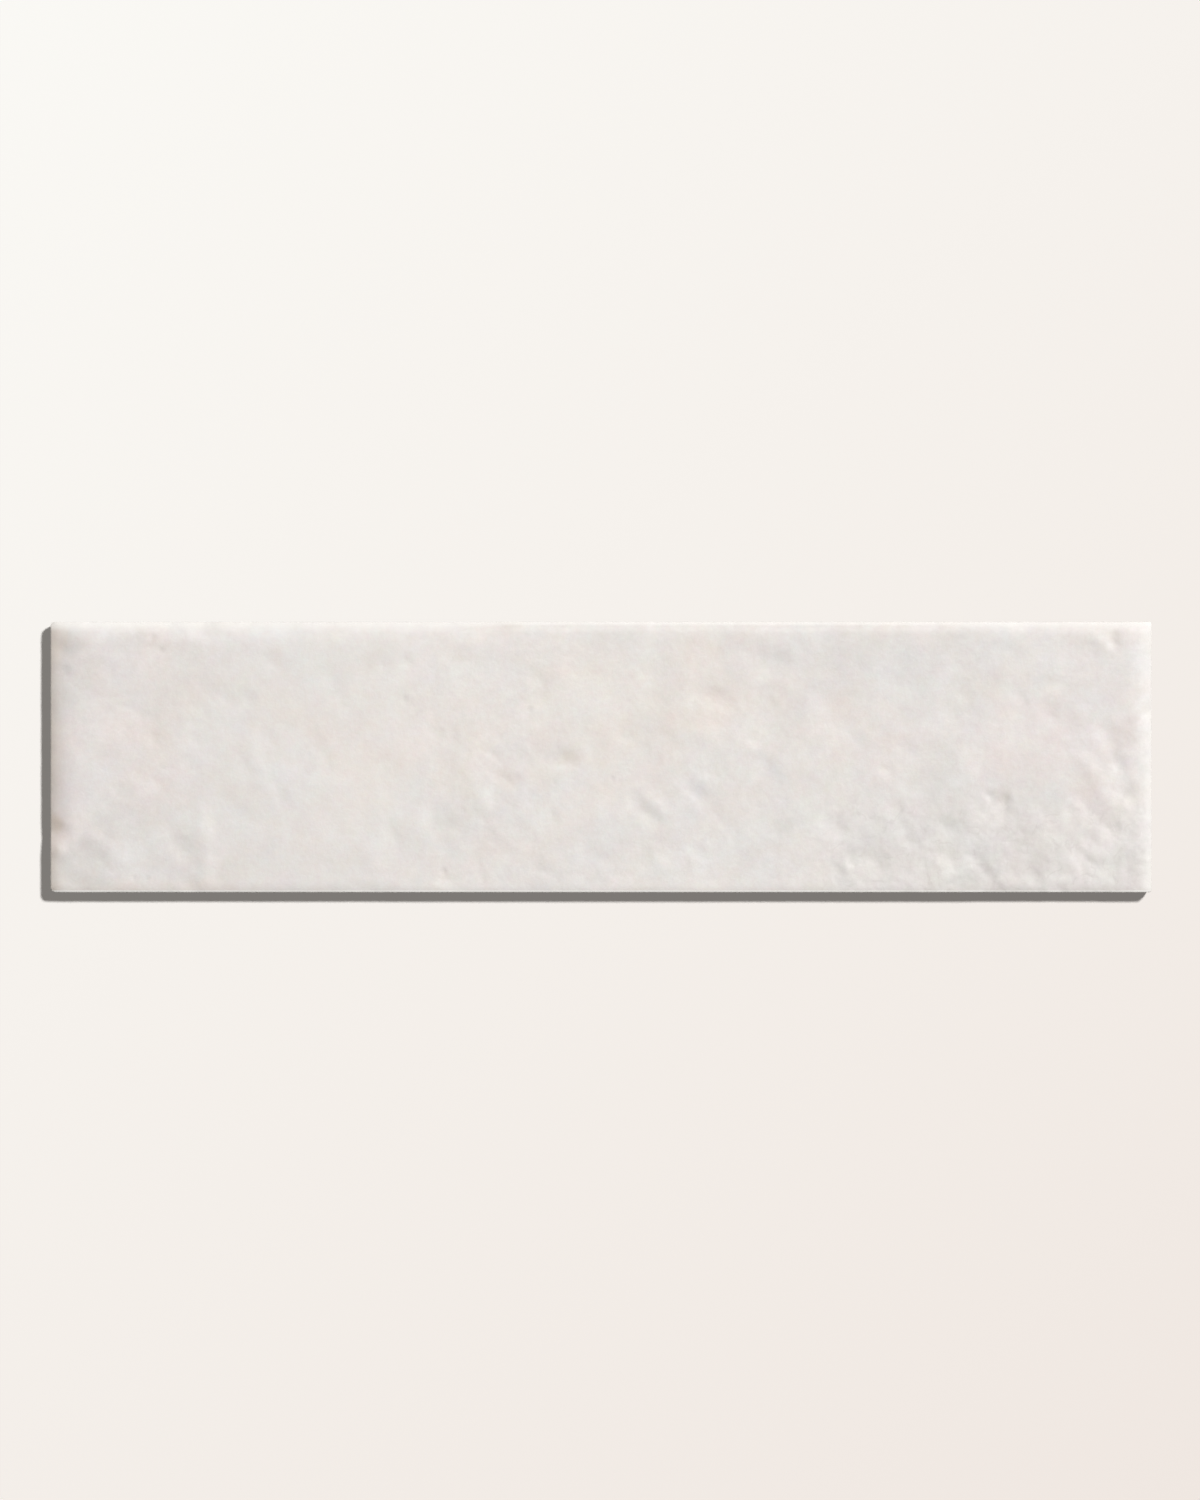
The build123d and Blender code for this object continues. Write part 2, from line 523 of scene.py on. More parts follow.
def note_hollows(piece):
    """Notes how far each spot lies below the clay around it, in millimetres, for the glaze that gathers
    there and the painted shade in the hollows.
    """
    soften = piece.modifiers.new("soften", "SMOOTH")
    soften.factor = 0.5
    soften.iterations = 70
    soften.use_x = False
    soften.use_y = False
    soft = piece.evaluated_get(bpy.context.evaluated_depsgraph_get())
    pairs = zip(soft.data.vertices, piece.data.vertices)
    depths = [(smoothed.co.z - own.co.z) / MM for smoothed, own in pairs]
    piece.modifiers.remove(soften)
    hollows = piece.data.attributes.new("hollows", "FLOAT", "POINT")
    hollows.data.foreach_set("value", np.array(depths) * inside(*plan(piece).T, 0.0005))


# The sides and the back

def draw_down(piece, height, inset):
    """Draws the selected rim down to a height, set in from the widest outline."""
    bpy.ops.mesh.extrude_region_move()
    mesh = bmesh.from_edit_mesh(piece.data)
    rim = [vertex for vertex in mesh.verts if vertex.select]
    wide = max(vertex.co.x for vertex in rim) * 2
    deep = max(vertex.co.y for vertex in rim) * 2
    scale_x = (LENGTH - 2 * inset) / wide
    scale_y = (WIDTH - 2 * inset) / deep
    bpy.ops.transform.resize(value=(scale_x, scale_y, 0), center_override=(0, 0, height))


def draw_sides(piece):
    """The upright land, the drafted side below it and the broken edge at the foot."""
    bpy.ops.object.mode_set(mode="EDIT")
    bpy.ops.mesh.select_mode(type="EDGE")
    bpy.ops.mesh.select_all(action="DESELECT")
    bpy.ops.mesh.select_non_manifold()
    rings = {
        "upper land": (6.6 * MM, 0),
        "land's foot": (LAND_FOOT, 0),
        "middle of the side": (2.6 * MM, 0.5 * SIDE_DRAFT),
        "foot": (FOOT_HEIGHT, SIDE_DRAFT),
        "back": (0, SIDE_DRAFT + FOOT_INSET),
    }
    for height, inset in rings.values():
        draw_down(piece, height, inset)
    bpy.ops.object.mode_set(mode="OBJECT")


def break_arris(piece):
    """Takes the sharpness off the edge where the face meets the side."""
    bpy.ops.object.mode_set(mode="EDIT")
    bpy.ops.mesh.select_all(action="DESELECT")
    mesh = bmesh.from_edit_mesh(piece.data)
    for edge in mesh.edges:
        if len(edge.link_faces) == 2 and edge.verts[0].co.z > LAND_FOOT + 2 * MM:
            if edge.calc_face_angle() > math.radians(25):
                edge.select_set(True)
    bmesh.update_edit_mesh(piece.data)
    bpy.ops.mesh.bevel(offset=ARRIS, segments=2, affect="EDGES")
    bpy.ops.object.mode_set(mode="OBJECT")


def keyed_back():
    """Rows of tapered pockets with ribs between them, facing down."""
    foot_length = LENGTH - 2 * (SIDE_DRAFT + FOOT_INSET)
    foot_width = WIDTH - 2 * (SIDE_DRAFT + FOOT_INSET)
    bpy.ops.object.select_all(action="DESELECT")
    bpy.ops.mesh.primitive_grid_add(x_subdivisions=KEY_COLUMNS, y_subdivisions=KEY_ROWS, size=1)
    back = bpy.context.object
    back.name = "keyed_back"
    bpy.ops.object.mode_set(mode="EDIT")
    bpy.ops.mesh.select_mode(type="FACE")
    bpy.ops.transform.resize(value=(foot_length - 2 * KEY_RIM + KEY_RIB,
                                    foot_width - 2 * KEY_RIM + KEY_RIB, 1))
    bpy.ops.mesh.flip_normals()
    bpy.ops.mesh.inset(thickness=KEY_RIB / 2, use_individual=True)
    bpy.ops.mesh.inset(thickness=KEY_DEPTH * math.tan(KEY_TAPER), depth=-KEY_DEPTH, use_individual=True)
    bpy.ops.mesh.select_all(action="DESELECT")
    bpy.ops.mesh.select_mode(type="EDGE")
    mesh = bmesh.from_edit_mesh(back.data)
    for edge in mesh.edges:
        if abs(edge.verts[0].co.z - edge.verts[1].co.z) > KEY_DEPTH / 2:
            edge.select_set(True)
    bmesh.update_edit_mesh(back.data)
    bpy.ops.mesh.bevel(offset=KEY_CORNER, segments=3, affect="EDGES")
    bpy.ops.object.mode_set(mode="OBJECT")
    return back


def close_back(piece, back):
    """Joins the keyed back to the foot of the sides."""
    bpy.ops.object.select_all(action="DESELECT")
    back.select_set(True)
    piece.select_set(True)
    bpy.context.view_layer.objects.active = piece
    bpy.ops.object.join()
    bpy.ops.object.mode_set(mode="EDIT")
    bpy.ops.mesh.select_mode(type="EDGE")
    bpy.ops.mesh.select_all(action="DESELECT")
    bpy.ops.mesh.select_non_manifold()
    bpy.ops.mesh.fill(use_beauty=True)
    bpy.ops.mesh.select_all(action="SELECT")
    bpy.ops.mesh.normals_make_consistent(inside=False)
    bpy.ops.object.mode_set(mode="OBJECT")


def pressed_tile():
    """The whole tile: its face pressed and rolled, its sides drawn down and its back closed."""
    tile = face_sheet()
    press_marks(tile, RIDGES_AND_HOLLOWS.values())
    finer(tile)
    wander(tile)
    press_pits(tile, PITS.values())
    roll_edges(tile)
    uneven_face(tile)
    note_hollows(tile)
    lower_to_crest(tile)
    round_corners(tile)
    draw_sides(tile)
    break_arris(tile)
    close_back(tile, keyed_back())
    tile.vertex_groups.clear()
    only(tile)
    bpy.ops.object.shade_smooth_by_angle(angle=math.radians(35))
    return tile


# Materials

# What the glaze's colour is multiplied by on the ridges and in the hollows: glaze drawn thin or
# gathered, with painted light on the ridges and painted shade in the hollows
RIDGE_GLAZE_AND_LIGHT = (1.044, 1.046, 1.049, 1)
HOLLOW_GLAZE_AND_SHADE = (0.934, 0.931, 0.929, 1)

# The clouds in the glaze: size in metres and detail, then how far they go from light to dark, from
# peach to grey and from pink to green
CLOUDS = {
    "broad": (0.010, 1.0, 0.138, 0.080, 0.045),
    "fine": (0.0025, 3.0, 0.19, 0.092, 0.109),
    "finest": (0.0015, 4.0, 0.05, 0.0, 0.0),
}


def put(tree, kind, feeds=None, **settings):
    """Adds a shader node, sets it up, and feeds its inputs with values or other nodes' outputs."""
    made = tree.nodes.new("ShaderNode" + kind)
    for setting, value in settings.items():
        setattr(made, setting, value)
    for slot, value in (feeds or {}).items():
        if isinstance(value, bpy.types.NodeSocket):
            tree.links.new(value, made.inputs[slot])
        else:
            made.inputs[slot].default_value = value
    return made


def sums(tree, operation, first, second=0.0, third=0.0):
    """A sum of one or more numbers."""
    feeds = {0: first, 1: second, 2: third}
    return put(tree, "Math", feeds, operation=operation).outputs[0]


def vectors(tree, operation, first, second):
    """A sum of two places or directions."""
    return put(tree, "VectorMath", {0: first, 1: second}, operation=operation).outputs


def noise(tree, place, scale, detail, roughness=0.5, distortion=0.0):
    """A cloudy noise over a place."""
    return put(tree, "TexNoise", {"Vector": place, "Scale": scale, "Detail": detail,
               "Roughness": roughness, "Distortion": distortion}).outputs


def effect(tree, group, **feeds):
    """Places an effect that finishes share, with values of its own."""
    return put(tree, "Group", feeds, node_tree=group).outputs


def between(tree, value, start, end, low_out=0.0, high_out=1.0):
    """A value eased from one range to another."""
    eased = put(tree, "MapRange", {"Value": value, "From Min": start, "From Max": end,
                "To Min": low_out, "To Max": high_out}, interpolation_type="SMOOTHSTEP")
    return eased.outputs["Result"]


def over(tree, share, under, upper, blend="MIX"):
    """One colour laid over another by a share."""
    feeds = {0: share, 6: under, 7: upper}
    return put(tree, "Mix", feeds, data_type="RGBA", blend_type=blend).outputs[2]


def colour(red, green, blue):
    """A colour as a screen shows it, 0 to 255, as a node takes it."""
    shown = [value / 255 for value in (red, green, blue)]
    return (*(s / 12.92 if s < 0.04045 else ((s + 0.055) / 1.055) ** 2.4 for s in shown), 1)


# The colours of the glaze, its painted shade and highlight, the bare clay and the sky
PLAIN_GLAZE = colour(218.7, 213.7, 209.8)
# painted shade in the fine wrinkles
WRINKLE_SHADE = colour(176, 168, 162)
# thin glaze at the left end, with painted shade on that side
THIN_GLAZE_AND_SHADE = colour(205, 192, 178)
# painted highlight along the far, right and near arrises, on glaze drawn thin there
PALE_RIM_AND_HIGHLIGHT = colour(238.0, 235.8, 231.3)
CLAY = colour(204, 193, 178)
PALE_CLAY = colour(213, 204, 191)
CLAY_SPECK = colour(165, 153, 140)
SKY = colour(244, 239, 234)


def new_group(name, takes, gives):
    """An effect that several finishes share, with its named inputs and outputs."""
    group = bpy.data.node_groups.new(name, "ShaderNodeTree")
    for socket, kind, value in takes:
        made = group.interface.new_socket(socket, in_out="INPUT", socket_type="NodeSocket" + kind)
        if value is not None:
            made.default_value = value
    for socket, kind in gives:
        group.interface.new_socket(socket, in_out="OUTPUT", socket_type="NodeSocket" + kind)
    return group, group.nodes.new("NodeGroupInput").outputs, group.nodes.new("NodeGroupOutput").inputs


def clouding_group():
    """A clouding of a finish: how light it is, how peach against grey and how pink against green."""
    group, takes, gives = new_group(
        "clouding",
        [("Place", "Vector", None), ("Size", "Float", 0.01), ("Detail", "Float", 3.0),
         ("Lightness", "Float", 0.1), ("Peachness", "Float", 0.1), ("Pinkness", "Float", 0.1)],
        [("Colour", "Color")])
    scale = sums(group, "DIVIDE", 1.0, takes["Size"])
    cloud = noise(group, takes["Place"], scale, takes["Detail"], 0.9, 0.2)
    parts = put(group, "SeparateColor", {0: cloud["Color"]}).outputs
    light, peach, pink = (sums(group, "SUBTRACT", part, 0.5) for part in parts)
    peach = sums(group, "MULTIPLY", peach, takes["Peachness"])
    red = sums(group, "MULTIPLY_ADD", light, takes["Lightness"], 1.0)
    blue = sums(group, "MULTIPLY_ADD", peach, -1.65, red)
    green = sums(group, "SUBTRACT", red, peach)
    green = sums(group, "SUBTRACT", green, sums(group, "MULTIPLY", pink, takes["Pinkness"]))
    group.links.new(put(group, "CombineColor", {0: red, 1: green, 2: blue}).outputs[0],
                    gives["Colour"])
    return group


def wrinkle_shade_group():
    """Where painted shade lies in fine wrinkles that start and stop, 1 in the middle of each."""
    group, takes, gives = new_group(
        "wrinkles", [("Place", "Vector", None), ("Size", "Float", 0.003)], [("Share", "Float")])
    scale = sums(group, "DIVIDE", 1.0, takes["Size"])
    cloud = noise(group, takes["Place"], scale, 2.0, 0.5, 0.5)
    level = sums(group, "ABSOLUTE", sums(group, "SUBTRACT", cloud["Fac"], 0.5))
    line = between(group, level, 0.075, 0.0)
    parts = put(group, "SeparateColor", {0: cloud["Color"]}).outputs
    broken = between(group, parts[1], 0.47, 0.58)
    group.links.new(sums(group, "MULTIPLY", line, broken), gives["Share"])
    return group


def patch_group():
    """A soft oval patch at a place on the face, its border broken up by a wandering cloud."""
    group, takes, gives = new_group(
        "patch",
        [("Place", "Vector", None), ("Middle", "Vector", None), ("Reach", "Vector", None),
         ("Wander", "Float", 0.01), ("Strength", "Float", 1.0)],
        [("Share", "Float")])
    cloud = noise(group, takes["Place"], 110.0, 4.0, 0.6)
    shift = vectors(group, "SUBTRACT", cloud["Color"], (0.5, 0.5, 0.5))[0]
    drift = put(group, "VectorMath", {0: shift, "Scale": takes["Wander"]},
                operation="SCALE").outputs[0]
    moved = vectors(group, "ADD", takes["Place"], drift)[0]
    away = vectors(group, "SUBTRACT", moved, takes["Middle"])[0]
    flat = vectors(group, "MULTIPLY", away, (1, 1, 0))[0]
    scaled = vectors(group, "DIVIDE", flat, takes["Reach"])[0]
    length = put(group, "VectorMath", {0: scaled}, operation="LENGTH").outputs["Value"]
    share = between(group, length, 1.25, 0.35)
    group.links.new(sums(group, "MULTIPLY", share, takes["Strength"]), gives["Share"])
    return group


def fired_clay_group():
    """The pale fired clay under the glaze, with fine specks and a dusting from the kiln shelf."""
    group, takes, gives = new_group(
        "fired_clay", [("Place", "Vector", None)],
        [("Colour", "Color"), ("Roughness", "Float"), ("Height", "Float")])
    dusting = between(group, noise(group, takes["Place"], 60.0, 5.0, 0.6)["Fac"], 0.35, 0.65)
    clay = over(group, dusting, CLAY, PALE_CLAY)
    specks = put(group, "TexVoronoi", {"Vector": takes["Place"], "Scale": 900.0})
    dark = between(group, specks.outputs["Distance"], 0.16, 0.05, 0.0, 0.35)
    clay = over(group, dark, clay, CLAY_SPECK)
    grain = noise(group, takes["Place"], 1600.0, 3.0, 0.6)["Fac"]
    group.links.new(clay, gives["Colour"])
    group.links.new(between(group, grain, 0.3, 0.7, 0.78, 0.92), gives["Roughness"])
    group.links.new(grain, gives["Height"])
    return group


def new_material(name):
    """A material, its node tree, its shader and the place on the piece."""
    material = bpy.data.materials.new(name)
    material.use_nodes = True
    tree = material.node_tree
    return material, tree, tree.nodes["Principled BSDF"], put(tree, "TexCoord").outputs["Object"]


# Tints laid into the glaze; the one called shade is painted shade. Each has its colour and its patches:
# the middle and the reach of each patch in the photograph's pixels, and its strength
TINTS = {
    "beige": ((221, 214.5, 208), {
        "middle": ((536, 712), (264, 92), 0.62),
        "left": ((165, 705), (38, 62), 0.8),
        "peach": ((700, 690), (66, 60), 0.95),
        "left of the middle": ((380, 765), (70, 50), 0.95),
        "by the middle": ((428, 702), (38, 42), 0.60),
        "far, by the middle": ((500, 652), (96, 22), 0.34),
    }),
    "peach": ((222, 213, 205.5), {
        "right of the middle": ((694, 694), (64, 68), 0.44),
        "left of the middle": ((427, 736), (32, 66), 0.48),
        "far left corner": ((76, 648), (24, 18), 0.42),
        "left": ((152, 766), (44, 26), 0.42),
        "near left edge": ((150, 888), (110, 10), 0.45),
    }),
    "pink": ((223, 213.5, 211), {
        "far left": ((125, 668), (76, 30), 0.38),
        "left": ((138, 752), (60, 60), 0.42),
        "left end": ((68, 786), (22, 110), 0.68),
        "left of the middle": ((325, 752), (56, 48), 0.26),
        "lower left of the middle": ((460, 745), (100, 60), 0.22),
        "right of the middle, over": ((700, 668), (60, 26), 0.14),
        "far middle": ((424, 676), (26, 22), 0.40),
        "left crease": ((275, 780), (26, 30), 0.34),
        "far right": ((898, 676), (50, 20), 0.26),
        "slant": ((1076, 706), (24, 20), 0.56),
        "near right corner": ((1128, 866), (16, 20), 0.36),
        "over the hollow": ((556, 668), (56, 36), 0.06),
        "right of the middle": ((838, 708), (28, 44), 0.24),
        "small": ((896, 738), (30, 20), 0.30),
        "right": ((1048, 735), (110, 50), 0.45),
        "right end": ((1104, 790), (40, 46), 0.30),
        "far right end": ((1104, 718), (44, 40), 0.34),
        "end valley": ((1130, 772), (9, 20), 0.52),
    }),
    "grey": ((215, 211.5, 208), {
        "near right": ((940, 848), (116, 44), 0.92),
        "near middle": ((660, 868), (50, 24), 0.30),
        "left": ((246, 745), (60, 120), 0.56),
        "far left": ((318, 656), (86, 38), 0.46),
        "right of the middle": ((822, 784), (30, 30), 0.36),
        "far right": ((900, 668), (100, 38), 0.30),
        "far middle": ((500, 668), (66, 34), 0.26),
    }),
    "pale": ((227.5, 222.5, 217), {
        "left of the middle": ((350, 740), (190, 120), 0.30),
        "far middle": ((560, 690), (180, 80), 0.28),
        "near middle": ((690, 870), (60, 26), 0.42),
        "right of the middle": ((828, 770), (36, 90), 0.42),
        "near": ((600, 795), (46, 44), 0.36),
        "near, left of the middle": ((460, 868), (70, 24), 0.40),
        "near right": ((934, 864), (30, 20), 0.34),
        "near right end": ((1122, 812), (18, 24), 0.34),
        "near left of the middle, at the edge": ((374, 870), (22, 16), 0.34),
        "far, left of the middle": ((478, 650), (30, 18), 0.30),
        "near, by the middle": ((526, 872), (26, 16), 0.24),
        "near, right of the middle": ((822, 872), (22, 18), 0.40),
        "under the deep hollow": ((972, 828), (22, 16), 0.30),
        "over the small slant": ((922, 762), (28, 16), 0.24),
        "on the ridge left of the middle": ((480, 797), (20, 22), 0.36),
        "by the middle": ((602, 752), (44, 30), 0.22),
        "left of the peach rise": ((680, 706), (22, 18), 0.20),
        "far left": ((350, 647), (150, 15), 0.30),
    }),
    # Painted shade: darker patches where hollows and slopes turn from the light, standing in for deeper
    # relief
    "shade": ((205, 200, 196), {
        "far left corner": ((78, 668), (24, 46), 0.60),
        "near left corner": ((84, 868), (28, 28), 0.70),
        "near left": ((172, 862), (34, 26), 0.24),
        "near right": ((1020, 842), (34, 62), 0.48),
        "right": ((966, 800), (58, 50), 0.38),
        "far right": ((905, 662), (80, 42), 0.42),
        "upright low place": ((672, 678), (22, 26), 0.24),
        "right end": ((1116, 722), (24, 40), 0.26),
        "curved groove": ((988, 870), (14, 18), 0.46),
        "far edge": ((142, 644), (32, 14), 0.42),
        "by the upright ridge": ((188, 843), (15, 22), 0.20),
        "left of the middle": ((456, 812), (16, 18), 0.28),
        "near right hollow": ((845, 822), (9, 13), 0.36),
        "near the upright ridge": ((226, 872), (22, 16), 0.26),
        "far middle": ((770, 664), (26, 22), 0.20),
        "left of the near hollow": ((882, 850), (18, 30), 0.24),
        "far right of the streak": ((964, 676), (56, 46), 0.32),
        "left edge": ((74, 780), (18, 50), 0.36),
        "far, left of the middle": ((426, 704), (28, 26), 0.20),
        "right of the step": ((784, 826), (30, 20), 0.28),
        "near the second groove": ((1030, 882), (30, 12), 0.46),
        "right of the deep hollow": ((1034, 796), (28, 24), 0.36),
        "left of the streak": ((925, 706), (30, 18), 0.22),
        "left": ((172, 704), (32, 48), 0.16),
        "left, near": ((130, 816), (64, 26), 0.18),
        "near, right of the middle": ((724, 858), (26, 18), 0.18),
        "near right, under the low streak": ((872, 826), (22, 16), 0.16),
        "over the slanting hollow": ((1076, 704), (26, 20), 0.18),
        "near right corner": ((1128, 866), (20, 26), 0.54),
    }),
    "brown": ((212, 199, 187), {
        "brown hollow": ((838, 698), (15, 12), 0.16),
        "round hollow": ((568, 757), (14, 12), 0.20),
        "upright hollow": ((508, 778), (14, 16), 0.22),
        "foot of the end ridge": ((1085, 784), (18, 22), 0.09),
        "notch": ((57, 823), (7, 10), 0.60),
        "deep hollow": ((1003, 797), (8, 12), 0.22),
        "far left corner": ((58, 640), (14, 14), 0.38),
    }),
    "green": ((204, 205, 198), {
        "green hollow": ((951, 820), (12, 8), 0.26),
    }),
}


def tint(tree, place, patch, patches):
    """The strongest of a tint's patches at each place."""
    strongest = None
    for middle, reach, strength in patches.values():
        share = effect(tree, patch, Place=place, Middle=(*on_face(*middle), 0),
                       Reach=(reach[0] * PIXEL, reach[1] * PIXEL, 1),
                       Wander=min(0.022, 2.2 * min(reach) * PIXEL), Strength=strength)["Share"]
        strongest = share if strongest is None else sums(tree, "MAXIMUM", strongest, share)
    return strongest


def clouded(tree, place, shown, clouding, calm, creased_part):
    """The glaze clouded, less so where it is calm, and greyer where it is creased."""
    for size, detail, lightness, peachness, pinkness in CLOUDS.values():
        calmer = sums(tree, "MULTIPLY_ADD", calm, -0.35 * lightness, lightness)
        greyer = sums(tree, "MULTIPLY_ADD", creased_part, -0.4 * peachness, peachness)
        cloud = effect(tree, clouding, Place=place, Size=size, Detail=detail, Lightness=calmer,
                       Peachness=greyer, Pinkness=pinkness)
        shown = over(tree, 1.0, shown, cloud["Colour"], "MULTIPLY")
    return shown


def palest(tree, x, y):
    """How much painted highlight lies along the far, right and near arrises, where the glaze is also
    drawn thin.
    """
    past_right = sums(tree, "SUBTRACT", x, LENGTH / 2)
    past_far = sums(tree, "SUBTRACT", y, WIDTH / 2)
    past_near = sums(tree, "MULTIPLY_ADD", y, -1.0, -WIDTH / 2)
    wider_left = between(tree, x, -20 * MM, -36 * MM, -1.1 * MM, -2.5 * MM)
    wider_right = between(tree, x, 72 * MM, 88 * MM, 0.0, -0.8 * MM)
    wide = sums(tree, "ADD", wider_left, wider_right)
    share = between(tree, x, -104 * MM, -88 * MM, 0.66, 0.52)
    rim = sums(tree, "MULTIPLY", between(tree, past_far, wide, -0.25 * MM), share)
    rim = sums(tree, "MAXIMUM", rim, between(tree, past_right, -3.4 * MM, -0.4 * MM, 0.0, 0.30))
    return sums(tree, "MAXIMUM", rim, between(tree, past_near, -0.58 * MM, -0.3 * MM))


def glaze_colour(tree, place, x, y):
    """The colour of the glaze on the face, with painted shade and highlights in it."""
    patch = patch_group()
    shown = PLAIN_GLAZE
    for shade, patches in TINTS.values():
        shown = over(tree, tint(tree, place, patch, patches), shown, colour(*shade))
    calm = sums(tree, "MULTIPLY", between(tree, x, -94 * MM, -84 * MM),
                between(tree, x, -36 * MM, -46 * MM))
    creased_part = sums(tree, "MULTIPLY", between(tree, x, 34 * MM, 60 * MM),
                        between(tree, y, -3 * MM, -14 * MM))
    shown = clouded(tree, place, shown, clouding_group(), calm, creased_part)

    # Painted shade in the fine wrinkles of the creased part
    wrinkle_shade = effect(tree, wrinkle_shade_group(), Place=place, Size=3.8 * MM)["Share"]
    wrinkle_shade = sums(tree, "MULTIPLY", wrinkle_shade, creased_part)
    shown = over(tree, sums(tree, "MULTIPLY", wrinkle_shade, 0.17), shown, WRINKLE_SHADE)

    # Gathered in the hollows and drawn off the ridges, with painted shade in the hollows and painted
    # light on the ridges
    pooled_and_shaded = put(tree, "Attribute", attribute_name="hollows").outputs["Fac"]
    depth = over(tree, between(tree, pooled_and_shaded, -0.12, 0.12), RIDGE_GLAZE_AND_LIGHT, HOLLOW_GLAZE_AND_SHADE)
    shown = over(tree, 1.0, shown, depth, "MULTIPLY")

    # Thin glaze and painted shade at the left end, darker and warmer on the side away from the light;
    # palest on the arrises, with a painted highlight
    thin = between(tree, x, -LENGTH / 2 + 4.0 * MM, -LENGTH / 2)
    shown = over(tree, sums(tree, "MULTIPLY", thin, 0.45), shown, THIN_GLAZE_AND_SHADE)
    return over(tree, palest(tree, x, y), shown, PALE_RIM_AND_HIGHLIGHT)


def glaze(clay):
    """Warm off-white satin glaze, clouded pink, beige and grey, running thin on to the sides."""
    material, tree, shader, place = new_material("tile_glaze")
    x, y, z = put(tree, "SeparateXYZ", {0: place}).outputs
    shown = glaze_colour(tree, place, x, y)

    # Run out part of the way down the sides
    height = sums(tree, "MULTIPLY_ADD", noise(tree, place, 160.0, 3.0)["Fac"], 2.4 * MM, z)
    bare = between(tree, height, 7.2 * MM, 6.9 * MM)
    body = effect(tree, clay, Place=place)
    shown = over(tree, bare, shown, body["Colour"])
    tree.links.new(shown, shader.inputs["Base Color"])

    pores = noise(tree, place, 420.0, 3.0, 0.55)["Fac"]
    satin = between(tree, pores, 0.3, 0.7, 0.46, 0.58)
    rough = put(tree, "Mix", {0: bare, 2: satin, 3: body["Roughness"]})
    tree.links.new(rough.outputs[0], shader.inputs["Roughness"])
    fine = noise(tree, place, 900.0, 3.0, 0.6)["Fac"]
    bump = put(tree, "Bump", {"Height": fine, "Distance": 0.00006, "Strength": 0.6})
    tree.links.new(bump.outputs[0], shader.inputs["Normal"])
    return material


def fired_clay(clay):
    """The bare back."""
    material, tree, shader, place = new_material("fired_clay")
    body = effect(tree, clay, Place=place)
    tree.links.new(body["Colour"], shader.inputs["Base Color"])
    tree.links.new(body["Roughness"], shader.inputs["Roughness"])
    bump = put(tree, "Bump", {"Height": body["Height"], "Distance": 0.0001, "Strength": 0.7})
    tree.links.new(bump.outputs[0], shader.inputs["Normal"])
    return material


def finish_tile(tile):
    """Glaze on the face and sides, and bare clay on the back."""
    clay = fired_clay_group()
    tile.data.materials.clear()
    tile.data.materials.append(glaze(clay))
    tile.data.materials.append(fired_clay(clay))
    for face in tile.data.polygons:
        face.material_index = int(face.center.z < FOOT_HEIGHT or face.center.z < KEY_DEPTH * 1.1
                                  and abs(face.center.x) < LENGTH / 2 - KEY_RIM / 2
                                  and abs(face.center.y) < WIDTH / 2 - KEY_RIM / 2)


# The floor, the light and the camera

# The floor's own colour and its faint glow, each at the far left and at the near right
FLOOR_COLOUR = ((1.0, 0.995, 0.970, 1), (0.920, 0.852, 0.803, 1))
FLOOR_GLOW = ((0.162, 0.1555, 0.1435, 1), (0.135, 0.1255, 0.1205, 1))


def looked_at(tree):
    """1 where a thing is seen, straight or in gloss or glass, and 0 where it gives light."""
    path = put(tree, "LightPath")
    seen = sums(tree, "MAXIMUM", path.outputs["Is Camera Ray"], path.outputs["Is Glossy Ray"])
    return sums(tree, "MAXIMUM", seen, path.outputs["Is Transmission Ray"])


def pale_floor():
    """A level floor, palest at the far left, that keeps the tile's shadow."""
    bpy.ops.object.select_all(action="DESELECT")
    bpy.ops.mesh.primitive_plane_add(size=8)
    floor = bpy.context.object
    floor.name = "floor"
    material, tree, shader, place = new_material("pale_floor")
    frame_wide = PHOTO_WIDE * PIXEL / 2
    frame_high = PHOTO_HIGH * PIXEL / 2
    along = (0.4 / frame_wide, -0.6 / frame_high, 0)
    slant = vectors(tree, "DOT_PRODUCT", place, along)["Value"]
    share = put(tree, "MapRange", {"Value": slant, "From Min": -1.0, "From Max": 1.0})
    share = share.outputs["Result"]
    tree.links.new(over(tree, share, *FLOOR_COLOUR), shader.inputs["Base Color"])
    tree.links.new(over(tree, share, *FLOOR_GLOW), shader.inputs["Emission Color"])
    tree.links.new(looked_at(tree), shader.inputs["Emission Strength"])
    shader.inputs["Roughness"].default_value = 1.0
    shader.inputs["Specular IOR Level"].default_value = 0.0
    floor.data.materials.append(material)


def hang(name, light, towards, away=0.0):
    """Hangs a lamp on one side of the tile, shining back at it."""
    lamp = bpy.data.objects.new(name, light)
    lamp.location = towards * away
    lamp.rotation_mode = "QUATERNION"
    lamp.rotation_quaternion = towards.to_track_quat("Z", "Y")
    bpy.context.scene.collection.objects.link(lamp)
    return lamp


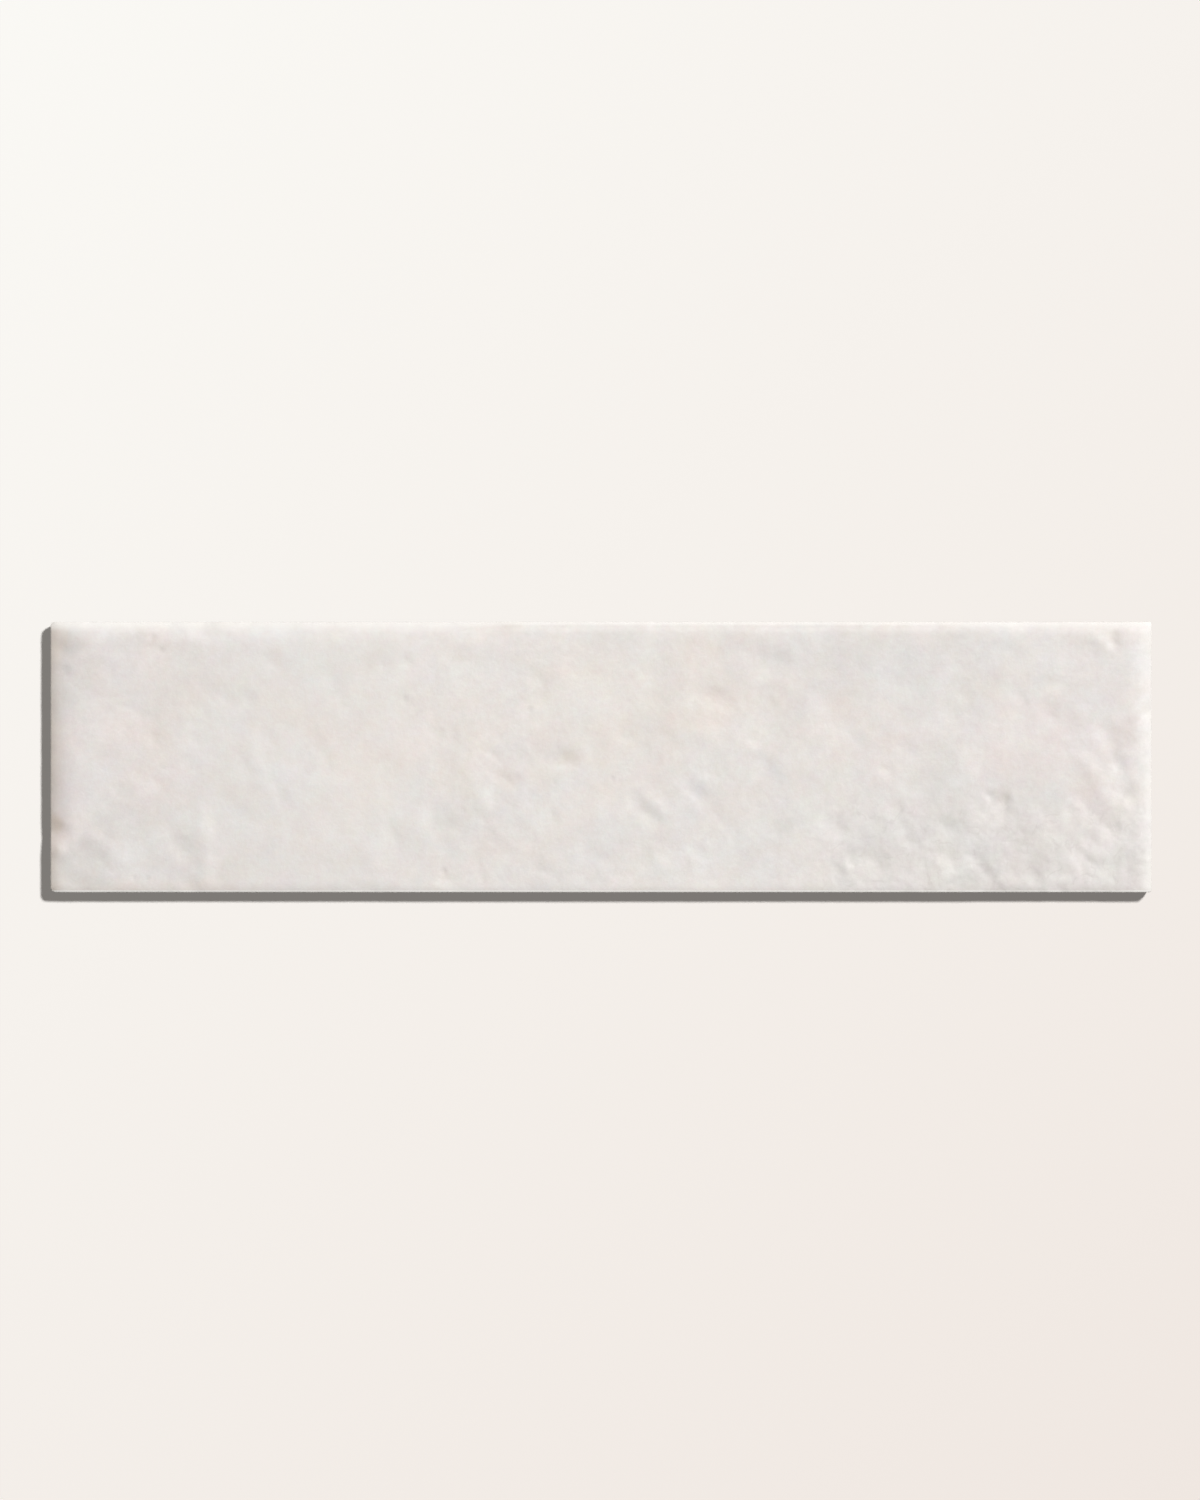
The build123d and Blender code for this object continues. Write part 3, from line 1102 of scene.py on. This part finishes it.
def sunlight():
    """A crisp sun from the far right."""
    sun = bpy.data.lights.new("sun", "SUN")
    sun.angle = math.radians(4.5)
    tilt = math.atan(math.hypot(SUN_ACROSS, SUN_UP))
    sun.energy = SUN_SHARE * math.pi / math.cos(tilt)
    hang("sun", sun, Vector((SUN_ACROSS, SUN_UP, 1)).normalized())


def raking_light(tile):
    """A low soft light across the glaze, that falls on nothing but the tile."""
    rake = bpy.data.lights.new("rake", "AREA")
    rake.shape = "DISK"
    rake.size = RAKE_SIZE
    rake.energy = RAKE_SHARE * math.pi ** 2 * RAKE_AWAY ** 2 / math.cos(RAKE_TILT)
    towards = Vector((math.sin(RAKE_TILT) * math.cos(RAKE_TURN),
                      math.sin(RAKE_TILT) * math.sin(RAKE_TURN), math.cos(RAKE_TILT)))
    side = hang("rake", rake, towards, RAKE_AWAY)
    lit = bpy.data.collections.new("lit_by_rake")
    lit.objects.link(tile)
    side.light_linking.receiver_collection = lit
    side.visible_glossy = False


def pale_sky():
    """A pale sky that gives little light and looks white."""
    world = bpy.data.worlds.new("studio")
    world.use_nodes = True
    bpy.context.scene.world = world
    tree = world.node_tree
    strength = put(tree, "Mix", {0: looked_at(tree), 2: SKY_SHARE, 3: 1.0})
    sky = tree.nodes["Background"]
    sky.inputs["Color"].default_value = SKY
    tree.links.new(strength.outputs[0], sky.inputs["Strength"])


def camera_over():
    """Looks straight down on the tile from far off, so that the view is all but flat."""
    camera = bpy.data.cameras.new("camera")
    camera.lens = 1000
    camera.sensor_width = 36
    away = PHOTO_HIGH * PIXEL * camera.lens / camera.sensor_width
    middle_x, middle_y = on_face(PHOTO_WIDE / 2, PHOTO_HIGH / 2)
    stand = bpy.data.objects.new("camera", camera)
    stand.location = (middle_x, middle_y, CREST + away)
    bpy.context.scene.collection.objects.link(stand)
    bpy.context.scene.camera = stand


tile = pressed_tile()
finish_tile(tile)
tile.visible_diffuse = False
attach(tile, "root")
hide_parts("tile")
pale_floor()
sunlight()
raking_light(tile)
pale_sky()
camera_over()

scene = bpy.context.scene
scene.view_settings.view_transform = "Standard"
